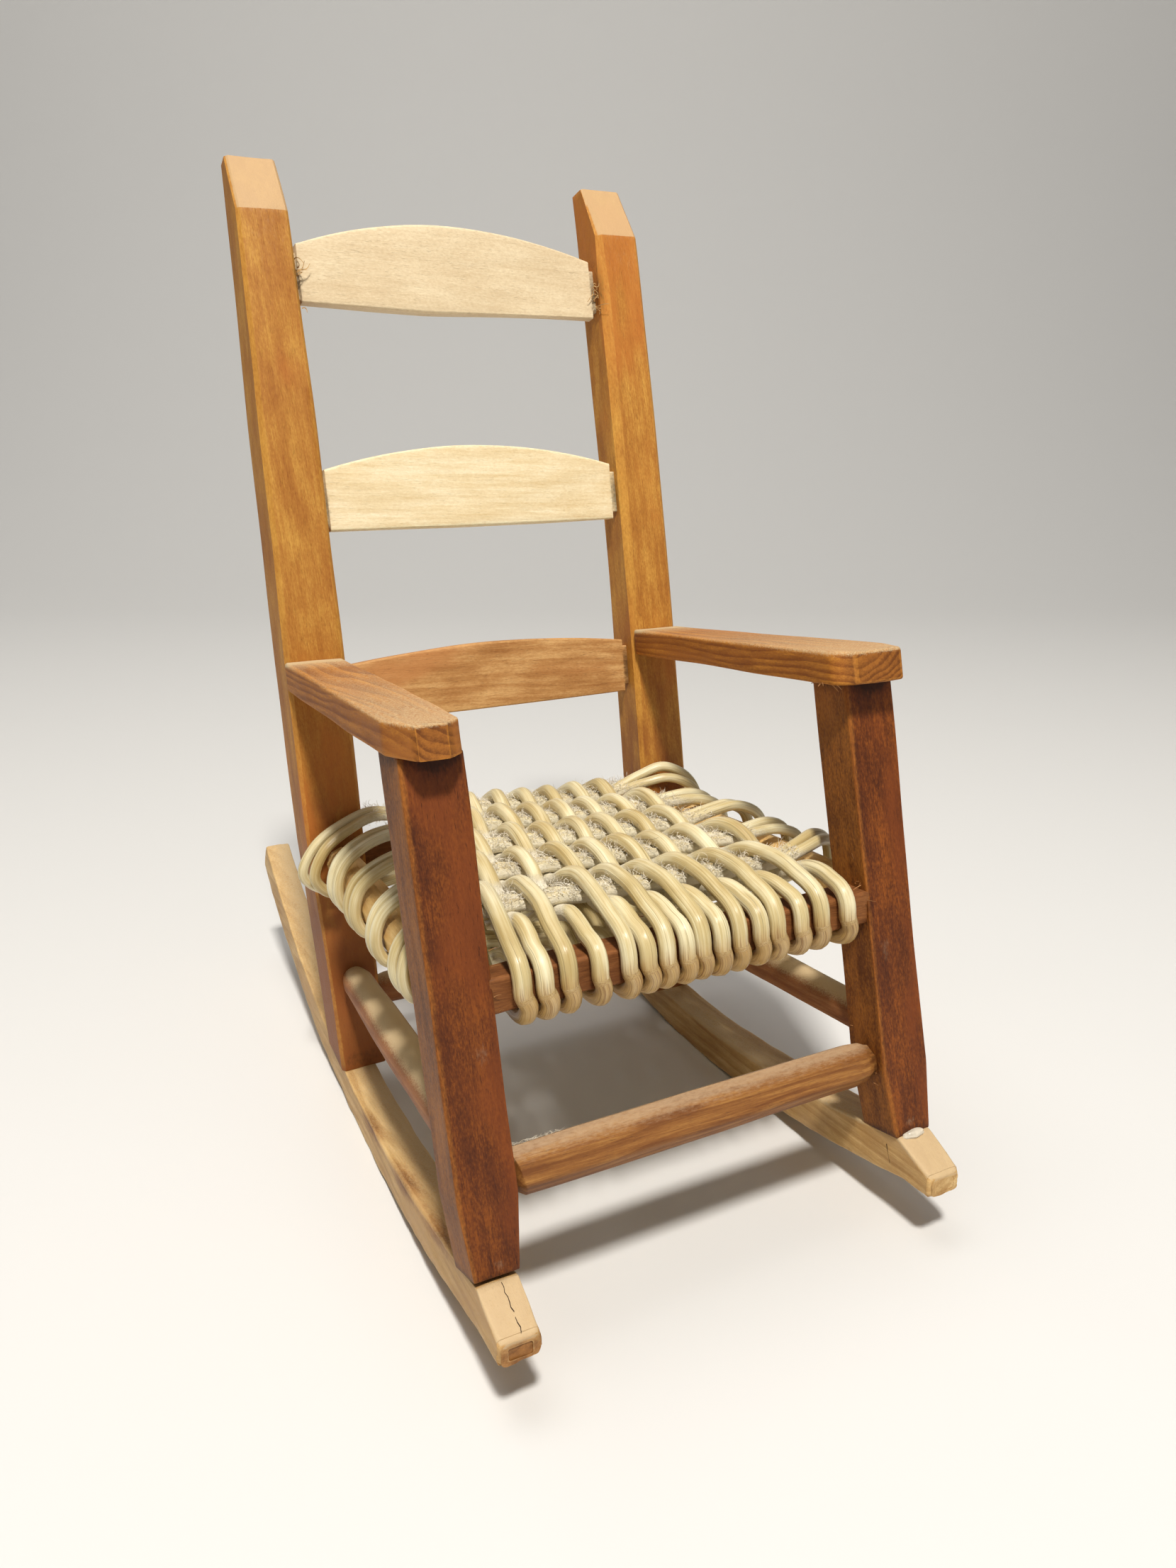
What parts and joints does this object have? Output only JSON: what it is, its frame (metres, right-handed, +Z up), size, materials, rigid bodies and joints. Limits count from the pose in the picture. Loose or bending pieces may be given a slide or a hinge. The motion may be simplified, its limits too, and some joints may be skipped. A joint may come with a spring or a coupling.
{
  "type": "miniature rocking chair",
  "caption": "Doll-size ladder-back rocking chair with flat arms, curved rockers and a woven round-reed seat.",
  "frame": {"origin": "centre of the footprint on the floor, at the height of the rockers' contact line, with the chair at rest", "axes": "+Z up, -Y towards the front of the seat, +X to the right for someone facing the chair"},
  "size_m": [0.0896, 0.1586, 0.1785],
  "materials": {
    "front_post_wood": "hand-cut wood, thin satin finish",
    "back_post_wood": "hand-cut wood, thin satin finish",
    "arm_wood": "hand-cut wood, thin satin finish",
    "slat_wood": "hand-cut wood, thin satin finish",
    "lower_slat_wood": "hand-cut wood, thin satin finish",
    "stretcher_wood": "hand-cut wood, thin satin finish",
    "front_stretcher_wood": "hand-cut wood, thin satin finish",
    "rocker_wood": "hand-cut wood, thin satin finish",
    "rail_wood": "hand-cut wood, thin satin finish",
    "side_rail_wood": "hand-cut wood, thin satin finish",
    "reed": "natural round reed, semi-gloss skin with fine lengthwise grooves and stray fibres"
  },
  "bodies": {
    "root": {"front_post_left": "front_post_wood", "front_post_right": "front_post_wood", "back_post_left": "back_post_wood", "back_post_right": "back_post_wood", "arm_left": "arm_wood", "arm_right": "arm_wood", "top_slat": "slat_wood", "middle_slat": "slat_wood", "lower_slat": "lower_slat_wood", "front_rail": "rail_wood", "back_rail": "rail_wood", "side_rail_left": "side_rail_wood", "side_rail_right": "side_rail_wood", "front_stretcher": "front_stretcher_wood", "back_stretcher": "stretcher_wood", "side_stretcher_left": "stretcher_wood", "side_stretcher_right": "stretcher_wood", "rocker_left": "rocker_wood", "rocker_right": "rocker_wood", "seat_warp": "reed", "seat_weft": "reed"}
  },
  "joints": []
}
